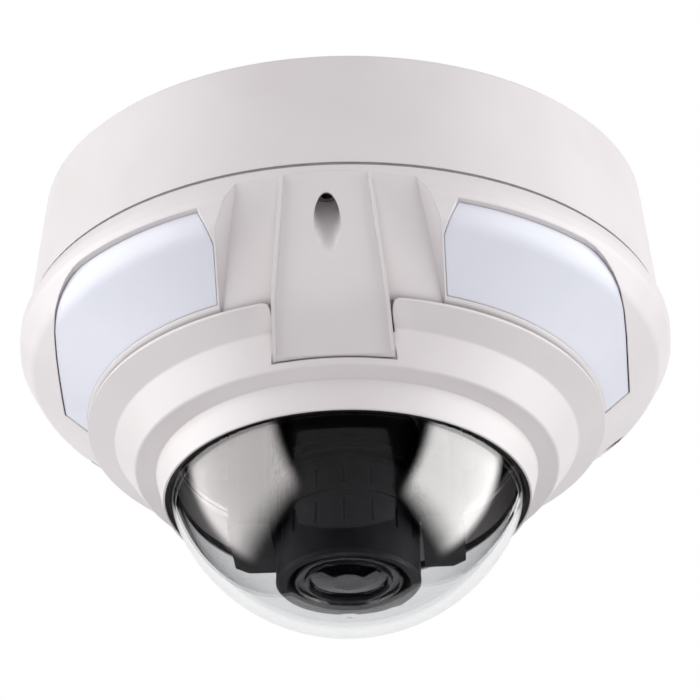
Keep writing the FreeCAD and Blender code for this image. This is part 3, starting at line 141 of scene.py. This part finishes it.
def ramp(tree, source, stops):
    """Maps a value to a colour. stops are two (position, colour) pairs."""
    node = add(tree, "ValToRGB", [("Fac", source)])
    for mark, (position, colour) in zip(node.color_ramp.elements, stops):
        mark.position = position
        mark.color = (*colour, 1.0)
    return node.outputs["Color"]


def two_tone(tree, patch, dark, light, detail=2, low=0.3, high=0.7):
    """A colour that drifts between two close tones, in patches of a real size."""
    return ramp(tree, grain(tree, patch, detail), [(low, dark), (high, light)])


def vary_gloss(tree, shader, patch, low, high):
    """Lets the roughness drift between two values, in patches of a real size."""
    drift = add(tree, "MapRange", [("Value", grain(tree, patch))], To_Min=low, To_Max=high)
    tree.links.new(drift.outputs["Result"], shader.inputs["Roughness"])


def texture(tree, shader, size, relief, strength):
    """Presses fine noise into the surface; relief is its real height in metres."""
    node = add(tree, "Bump", [("Height", grain(tree, size, 2))], Strength=strength, Distance=relief)
    tree.links.new(node.outputs["Normal"], shader.inputs["Normal"])
    return node


# %% [markdown]
# Colours are easiest to choose on a painter's chart, from 0 to 255, but light adds up on
# another scale, so each chart colour is turned into linear light. Giving a finish to a piece
# of the model means filling the slots of its object, which leaves its shape alone.

# %% Helpers for colours and dressing
def srgb(red, green, blue):
    """A colour as a painter's chart gives it, 0 to 255, turned into linear light."""
    def linear(level):
        level = level / 255.0
        return level / 12.92 if level <= 0.04045 else ((level + 0.055) / 1.055) ** 2.4
    return linear(red), linear(green), linear(blue)


def dress(finish, *names):
    """Gives a finish to pieces of the model."""
    for name in names:
        for place in nodes[name].material_slots:
            place.material = finish
    print("finish:", finish.name, "on", len(names), "pieces")


print("half of the chart is this much light:", round(srgb(128, 128, 128)[0], 3))

# %% [markdown]
# The base cup, the cover and the bezel are die-cast aluminium with a warm white powder coat.
# Powder melts into a skin with a faint orange peel and a soft gloss.
# Noise in three sizes does that: broad for the colour, fine for the gloss, finest for the peel.
# Ambient occlusion finds the corners that the light reaches badly and darkens the colour there
# a little, a painted shade in the corners and creases, and a bevel that only bends the light
# rounds every sharp edge, as thick paint does.

# %% White casting
CORNER_REACH = 12 * MM
CORNER_SHADE = (0.6, 0.585, 0.6)
CORNER_STOPS = (0.25, 0.7)
PAINT_ROUNDING = 0.45 * MM

casting, tree, shader = new_finish("white_casting")
tint = two_tone(tree, patch=30 * MM, dark=srgb(228, 224, 222), light=srgb(234, 231, 229))
# Painted shade: the paint colour is darkened in corners and creases by the ambient occlusion.
corners = add(tree, "AmbientOcclusion", samples=8, Distance=CORNER_REACH)
shade = ramp(tree, corners.outputs["AO"], zip(CORNER_STOPS, (CORNER_SHADE, (1.0, 1.0, 1.0))))
powder_and_painted_shade = add(tree, "Mix", data_type="RGBA", blend_type="MULTIPLY")
powder_and_painted_shade.inputs["Factor"].default_value = 1.0
tree.links.new(tint, powder_and_painted_shade.inputs["A"])
tree.links.new(shade, powder_and_painted_shade.inputs["B"])
tree.links.new(powder_and_painted_shade.outputs["Result"], shader.inputs["Base Color"])
vary_gloss(tree, shader, patch=3 * MM, low=0.36, high=0.5)
peel = texture(tree, shader, size=1.1 * MM, relief=0.03 * MM, strength=0.5)
soft_edge = add(tree, "Bevel", samples=6, Radius=PAINT_ROUNDING)
tree.links.new(soft_edge.outputs["Normal"], peel.inputs["Normal"])
dress(casting, "base_housing", "cover_housing", "bezel_ring")

# %% [markdown]
# Each sensor looks out through a window of milky polythene, which lets heat through and
# scatters light. A thin glass would do for the look alone, but light goes a little way into
# the real sheet, so it gets some subsurface scatter. Its white is cooler than the paint.

# %% Milky window
window, tree, shader = new_finish("milky_window")
tint = two_tone(tree, patch=25 * MM, dark=srgb(229, 233, 240), light=srgb(233, 236, 243))
tree.links.new(tint, shader.inputs["Base Color"])
shader.inputs["Subsurface Weight"].default_value = 0.25
shader.inputs["Subsurface Radius"].default_value = (1.0, 1.0, 1.0)
shader.inputs["Subsurface Scale"].default_value = 1.5 * MM
vary_gloss(tree, shader, patch=4 * MM, low=0.3, high=0.4)
texture(tree, shader, size=2 * MM, relief=0.02 * MM, strength=0.4)
dress(window, "sensor_window_left", "sensor_window_right")

# %% [markdown]
# A bead of white silicone fills the joint between each window and the casting. The window's
# own shape gives it: a merged copy that is a hair fatter all round and sunk a hair deeper, so
# it only shows as a soft pale line where a bare joint would be a hard black one.

# %% Window beads
BEAD_WIDTH = 0.364 * MM
BEAD_SINK = 0.62 * MM
WELD = 0.01 * MM
UPWARD = Vector((0.0, 0.0, 1.0))


def finished_piece(bm, name, finish):
    """Makes an object at the origin out of a bmesh, with one finish."""
    mesh = bpy.data.meshes.new(name)
    bm.to_mesh(mesh)
    bm.free()
    mesh.materials.append(finish)
    piece = bpy.data.objects.new(name, mesh)
    scene.collection.objects.link(piece)
    print(name, "has", len(mesh.polygons), "faces")
    return piece


def window_bead(name, window_node, finish):
    """A silicone bead from a fattened copy of a window, sunk into the casting behind it."""
    bm = bmesh.new()
    bm.from_mesh(nodes[window_node].data)
    bmesh.ops.remove_doubles(bm, verts=bm.verts, dist=WELD)
    bm.normal_update()
    for vert in bm.verts:
        # The casting lies behind the window, towards the dome's axis and up.
        inward = Vector((-vert.co.x, -vert.co.y, 0.0)).normalized()
        vert.co += vert.normal * BEAD_WIDTH + (inward + UPWARD).normalized() * BEAD_SINK
    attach(finished_piece(bm, name, finish), "housing")


silicone, tree, shader = new_finish("white_silicone")
tint = two_tone(tree, patch=6 * MM, dark=srgb(232, 232, 236), light=srgb(240, 240, 244))
tree.links.new(tint, shader.inputs["Base Color"])
vary_gloss(tree, shader, patch=2 * MM, low=0.35, high=0.5)
for side in ("left", "right"):
    window_bead("window_bead_" + side, "sensor_window_" + side, silicone)

# %% [markdown]
# The dome is clear polycarbonate. A glass shader bends light as the real wall does, but lamps
# can't shine through it cleanly, so rays that only ask whether a lamp is hidden pass straight
# on. A faint haze of tiny scratches keeps the gloss from looking like a computer's.

# %% Clear dome
POLYCARBONATE_BEND = 1.52
LAMP_LIGHT_PASSED = (0.93, 0.93, 0.93, 1.0)
TINT_LOW, TINT_HIGH = (0.86, 0.865, 0.875), (0.875, 0.88, 0.89)

dome, tree, shader = new_finish("clear_dome")
shader.inputs["Transmission Weight"].default_value = 1.0
shader.inputs["IOR"].default_value = POLYCARBONATE_BEND
tint = two_tone(tree, patch=40 * MM, dark=TINT_LOW, light=TINT_HIGH, detail=1)
tree.links.new(tint, shader.inputs["Base Color"])
vary_gloss(tree, shader, patch=6 * MM, low=0.0, high=0.02)
clear = add(tree, "BsdfTransparent", Color=LAMP_LIGHT_PASSED)
ray = add(tree, "LightPath")
wall = add(tree, "MixShader", [("Fac", ray.outputs["Is Shadow Ray"])])
tree.links.new(shader.outputs["BSDF"], wall.inputs[1])
tree.links.new(clear.outputs["BSDF"], wall.inputs[2])
tree.links.new(wall.outputs["Shader"], tree.nodes["Material Output"].inputs["Surface"])
dress(dome, "dome_bubble")

# %% [markdown]
# Inside the dome everything is black, so that nothing shines back into the lens: a liner of
# grained nylon, and a gimbal and a lens body in satin black. The seals are moulded rubber, and
# the one between base and cover is grey. One recipe fits all of them, as one moulding shop
# would make them: two close tones, a band of gloss, and the fine texture of the mould.

# %% Blacks
TINT_PATCH, GLOSS_PATCH = 6, 3


def moulded(name, dark, light, rough, size=0.5 * MM, relief=0.02 * MM, specular=0.5):
    """A moulded piece's finish. rough is its band of roughness, size the size of its texture."""
    finish, tree, shader = new_finish(name)
    shader.inputs["Specular IOR Level"].default_value = specular
    tint = two_tone(tree, patch=size * TINT_PATCH, dark=dark, light=light, low=0.35, high=0.65)
    tree.links.new(tint, shader.inputs["Base Color"])
    vary_gloss(tree, shader, size * GLOSS_PATCH, *rough)
    texture(tree, shader, size, relief, strength=0.5)
    return finish


MATT = (0.65, 0.8)
MOULD_GRAIN = 0.03 * MM
rubber = moulded("black_rubber", srgb(24, 24, 25), srgb(34, 34, 35), MATT, relief=MOULD_GRAIN)
liner = moulded("black_plastic", srgb(8, 8, 9), srgb(14, 14, 15), rough=(0.6, 0.75), specular=0.06)
gimbal = moulded("lens_black", srgb(14, 14, 17), srgb(21, 20, 24), rough=(0.4, 0.55), specular=0.18)
seam = moulded("seam_rubber", srgb(168, 163, 166), srgb(182, 178, 180), MATT, relief=MOULD_GRAIN)
dress(rubber, "cable_grommet", "dome_gasket", "dome_seal")
dress(seam, "base_gasket")
dress(liner, "inner_liner", "reset_switch")
dress(gimbal, "pan_yoke", "pan_retainer", "tilt_ring", "tilt_pivots", "lens_sleeve", "sleeve_clip",
      "rear_cap", "lens_barrel", "zoom_ring", "focus_ring", "sensor_spacer")

# %% [markdown]
# The screws are plain steel, the plate behind the dome is zinc-coated, and the boards carry a
# green mask. They hide inside the housing, where only a slot or a well gives a glimpse, so the
# same recipe is enough for them, with full metal where the piece is metal.

# %% Metals and boards
THIN_SKIN = 0.01 * MM
FINE_GRAIN = 0.4 * MM
SATIN_PLASTIC = (0.35, 0.45)
steel = moulded("steel", srgb(150, 150, 152), srgb(172, 172, 174), rough=(0.25, 0.4),
                size=0.3 * MM, relief=THIN_SKIN)
zinc = moulded("zinc_plate", srgb(178, 180, 182), srgb(196, 198, 200), rough=(0.3, 0.45),
               size=0.6 * MM, relief=THIN_SKIN)
board = moulded("circuit_board", srgb(18, 70, 44), srgb(24, 84, 54), rough=(0.3, 0.4),
                size=FINE_GRAIN, relief=THIN_SKIN)
green = moulded("green_plastic", srgb(42, 128, 70), srgb(50, 140, 78), SATIN_PLASTIC,
                size=FINE_GRAIN, relief=THIN_SKIN)
red = moulded("red_plastic", srgb(170, 34, 30), srgb(186, 42, 36), SATIN_PLASTIC,
              size=FINE_GRAIN, relief=THIN_SKIN)
for metal in (steel, zinc):
    metal.node_tree.nodes["Principled BSDF"].inputs["Metallic"].default_value = 1.0
dress(steel, "cover_screws", "bezel_screws", "plate_screws", "board_spacers", "network_jack",
      "card_holder", "motion_detector_left", "motion_detector_right")
dress(zinc, "chassis_plate", "processor_cooler")
dress(board, "main_board", "image_sensor")
dress(green, "power_terminal")
dress(red, "reset_button")

# %% [markdown]
# The front glass has a dark violet coating against glare. Behind it the real lens is a black
# tube, so clear glass would show nothing more: a nearly black, polished surface with a thin
# clear coat looks the same and costs the renderer far less.

# %% Front glass
glass, tree, shader = new_finish("lens_glass")
tint = two_tone(tree, patch=10 * MM, dark=srgb(6, 5, 9), light=srgb(11, 9, 15), detail=1)
tree.links.new(tint, shader.inputs["Base Color"])
vary_gloss(tree, shader, patch=4 * MM, low=0.02, high=0.06)
shader.inputs["Coat Weight"].default_value = 0.3
dress(glass, "front_lens")

# %% [markdown]
# Between the front glass and the mouth of the focus ring sits a stepped black ring, which
# holds the glass and stops stray light. It is one outline turned round the lens, so a few
# points and a full spin make it, and its polished lip catches a thin arc of light.

# %% Lens trim
ROUND_STEPS = 96
TRIM_WELD = 0.001 * MM


def turned_piece(name, outline, finish, body):
    """A piece turned round the dome's axis from points of radius and height, in metres."""
    bm = bmesh.new()
    ring = [bm.verts.new((radius, 0, height)) for radius, height in outline]
    edges = [bm.edges.new((here, after)) for here, after in zip(ring, ring[1:] + ring[:1])]
    bmesh.ops.spin(bm, geom=ring + edges, axis=(0, 0, 1), angle=2 * math.pi, steps=ROUND_STEPS,
                   use_merge=True)
    bmesh.ops.remove_doubles(bm, verts=bm.verts, dist=TRIM_WELD)
    bmesh.ops.recalc_face_normals(bm, faces=bm.faces)
    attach(finished_piece(bm, name, finish), body)


satin = moulded("satin_ring", srgb(26, 25, 29), srgb(34, 32, 37), rough=(0.18, 0.26),
                relief=0.005 * MM, specular=0.6)
lens_face = min(corner[2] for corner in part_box("focus_ring"))
# The outline in millimetres: radius, and height above the face of the focus ring.
trim_steps = [(13.0, 1.9), (13.0, 0.7), (12.6, 0.4), (12.2, 0.4), (11.9, 1.1), (10.6, 1.1),
              (10.4, 0.4), (9.9, 0.3), (9.4, 0.7), (9.4, 1.4)]
outline = [(radius * MM, lens_face + height * MM) for radius, height in trim_steps]
turned_piece("lens_trim", outline, satin, "focus_collar")

# %% [markdown]
# The studio has a large soft lamp on each side, so both flanks of the body are bright and the
# front falls off a little. A wide reflector under the camera lifts the sides that look down.
# A lamp's level is the brightness of its own face, so its size can change without changing
# how bright its mirror image is.

# %% Softboxes
def lamp(name, across, up, level, width, height, distance=1.3, tint=(1, 1, 1), lean=0.0):
    """A soft lamp that shines at the object from two angles, and may lean; all in degrees."""
    toward = direction(across, up)
    data = bpy.data.lights.new(name, "AREA")
    data.shape = "RECTANGLE"
    data.size, data.size_y = width, height
    data.energy = level * math.pi * width * height
    data.color = tint
    shade = bpy.data.objects.new(name, data)
    shade.rotation_mode = "QUATERNION"
    shade.location = AIM + toward * distance
    shade.rotation_quaternion = toward.to_track_quat("Z", "Y") @ Quaternion((0, 0, 1), math.radians(lean))
    shade.visible_camera = False
    scene.collection.objects.link(shade)
    print(name, "is", distance, "m away at", across, "and", up, "degrees")
    return shade


right_softbox = lamp("right_softbox", across=82, up=0, level=2.8, width=1.5, height=1.2)
left_softbox = lamp("left_softbox", across=-82, up=0, level=3.0, width=1.5, height=1.2)
reflector = lamp("low_reflector", across=0, up=-45, level=0.34, width=2.0, height=2.0, distance=1.6)
reflector.visible_glossy = False

# %% [markdown]
# The dome mirrors the two lamps, and their mirror image has to be strong. Brighter lamps would
# bleach the white body, so each lamp gets a twin that lights only the dome, which light
# linking allows, and the softboxes leave the dome alone. The twins fade towards their edges,
# as the cloth of a softbox does.

# %% Lamps for the dome
def fade_to_edges(shade, sides, ends):
    """Lets a lamp glow less towards its edges, over a share of its width and of its height."""
    shade.data.use_nodes = True
    tree = shade.data.node_tree
    place = add(tree, "NewGeometry")
    axes = add(tree, "SeparateXYZ", [("Vector", place.outputs["Parametric"])])
    fades = []
    for axis, softness in (("X", sides), ("Y", ends)):
        far = reckon(tree, "SUBTRACT", 1.0, axes.outputs[axis])
        edge = reckon(tree, "MINIMUM", axes.outputs[axis], far)
        fade = add(tree, "MapRange", [("Value", edge)], interpolation_type="SMOOTHSTEP", From_Max=softness)
        fades.append(fade.outputs[0])
    glow = reckon(tree, "MULTIPLY", *fades)
    tree.links.new(glow, tree.nodes["Emission"].inputs["Strength"])


def link_to_dome(name, state, lamps):
    """Makes lamps light nothing but the dome (INCLUDE) or all but the dome (EXCLUDE)."""
    receivers = bpy.data.collections.new(name)
    receivers.objects.link(nodes["dome_bubble"])
    receivers.collection_objects[0].light_linking.link_state = state
    for shade in lamps:
        shade.light_linking.receiver_collection = receivers


right_glow = lamp("right_dome_glow", across=87, up=-18, level=8.6, width=1.65, height=1.6,
                  distance=1.2, tint=(1.0, 0.985, 0.965), lean=8)
left_glow = lamp("left_dome_glow", across=-80, up=-18, level=5.6, width=2.1, height=1.6,
                 distance=1.2, tint=(1.0, 0.955, 0.94), lean=-8)
for twin in (right_glow, left_glow):
    fade_to_edges(twin, sides=0.16, ends=0.32)
link_to_dome("dome_mirrors", "INCLUDE", (right_glow, left_glow))
link_to_dome("all_but_dome", "EXCLUDE", (right_softbox, left_softbox))

# %% [markdown]
# Behind the object the room is a white sweep, and the world shows it to the eye, to mirrors
# and through glass. All other rays find a plain, slightly violet light at half that level, so
# the pale body doesn't bleach. A ray's answers are 0 for no and 1 for yes, so one half is the
# mark between them.

# %% Room
ROOM_TINT = (0.97, 0.925, 1.0, 1.0)
ROOM_LEVEL = 0.5
WHITE = (1.0, 1.0, 1.0, 1.0)
HALF = 0.5


def shown_to_eye(tree, ray):
    """Yes for a ray from the eye, one through glass and one off a mirror, and no for the rest."""
    seen = reckon(tree, "MAXIMUM", ray.outputs["Is Camera Ray"], ray.outputs["Is Transmission Ray"])
    return reckon(tree, "MAXIMUM", seen, ray.outputs["Is Glossy Ray"])


def blend_shaders(tree, share, first, second, output):
    """Shows the first shader where share is no, and the second where it is yes."""
    blend = add(tree, "MixShader", [("Fac", share)])
    tree.links.new(first.outputs[0], blend.inputs[1])
    tree.links.new(second.outputs[0], blend.inputs[2])
    tree.links.new(blend.outputs[0], tree.nodes[output].inputs["Surface"])


world = bpy.data.worlds.new("white_room")
world.use_nodes = True
scene.world = world
tree = world.node_tree
around = add(tree, "Background", Color=ROOM_TINT, Strength=ROOM_LEVEL)
white = add(tree, "Background", Color=WHITE, Strength=1.0)
ray = add(tree, "LightPath")
straight = reckon(tree, "LESS_THAN", ray.outputs["Diffuse Depth"], HALF)
sweep = reckon(tree, "MULTIPLY", shown_to_eye(tree, ray), straight)
blend_shaders(tree, sweep, around, white, "World Output")
print("room level off the sweep:", ROOM_LEVEL)

# %% [markdown]
# The room behind the viewer is dark, as it is in a real studio, or the front of the dome would
# mirror a pale veil. A dark curtain stands round that side. Only mirrored rays see its black
# cloth, and for every other ray it is open air, so it takes no light from the object. A ray
# has been mirrored if it turned more often than it went through glass.

# %% Curtain
CURTAIN_RADIUS = 3.0
CURTAIN_LOW, CURTAIN_HIGH = -2.35, 3.2
CURTAIN_TURN = math.radians(300.0)
CURTAIN_STEPS = 60

cloth, tree, shader = new_finish("black_cloth")
tint = two_tone(tree, patch=0.3, dark=srgb(6, 6, 6), light=srgb(10, 10, 10))
tree.links.new(tint, shader.inputs["Base Color"])
shader.inputs["Roughness"].default_value = 1.0
shader.inputs["Specular IOR Level"].default_value = 0.0
ray = add(tree, "LightPath")
turned = reckon(tree, "SUBTRACT", ray.outputs["Ray Depth"], ray.outputs["Transmission Depth"])
mirrored = reckon(tree, "MAXIMUM", turned, ray.outputs["Is Glossy Ray"])
dark = reckon(tree, "GREATER_THAN", mirrored, HALF)
blend_shaders(tree, dark, add(tree, "BsdfTransparent"), shader, "Material Output")

bm = bmesh.new()
foot = bm.verts.new((0, CURTAIN_RADIUS, CURTAIN_LOW))
head = bm.verts.new((0, CURTAIN_RADIUS, CURTAIN_HIGH))
hem = bm.edges.new((foot, head))
bmesh.ops.rotate(bm, verts=bm.verts, matrix=Matrix.Rotation(math.pi - CURTAIN_TURN / 2, 3, "Z"))
bmesh.ops.spin(bm, geom=[foot, head, hem], axis=(0, 0, 1), angle=CURTAIN_TURN, steps=CURTAIN_STEPS)
bmesh.ops.create_circle(bm, cap_ends=True, radius=CURTAIN_RADIUS, segments=CURTAIN_STEPS,
                        matrix=Matrix.Translation((0, 0, CURTAIN_LOW)))
curtain = finished_piece(bm, "dark_curtain", cloth)
curtain.visible_camera = curtain.visible_diffuse = curtain.visible_shadow = False

# %% [markdown]
# The floor lies far below, because this object hangs. It is a pale disc, and to the eye it
# glows nearly as bright as the sweep behind it, so its far edge melts away in every view.

# %% Floor
FLOOR_DEPTH, FLOOR_RADIUS = -7.0, 30.0
FLOOR_GLOW = 0.94

ground, tree, shader = new_finish("pale_floor")
tint = two_tone(tree, patch=0.8, dark=srgb(236, 236, 236), light=srgb(242, 242, 242))
tree.links.new(tint, shader.inputs["Base Color"])
shader.inputs["Roughness"].default_value = 0.9
share = reckon(tree, "MULTIPLY", shown_to_eye(tree, add(tree, "LightPath")), FLOOR_GLOW)
glow = add(tree, "Emission", Color=WHITE, Strength=1.0)
blend_shaders(tree, share, shader, glow, "Material Output")

bm = bmesh.new()
bmesh.ops.create_circle(bm, cap_ends=True, radius=FLOOR_RADIUS, segments=ROUND_STEPS,
                        matrix=Matrix.Translation((0, 0, FLOOR_DEPTH)))
finished_piece(bm, "floor", ground)
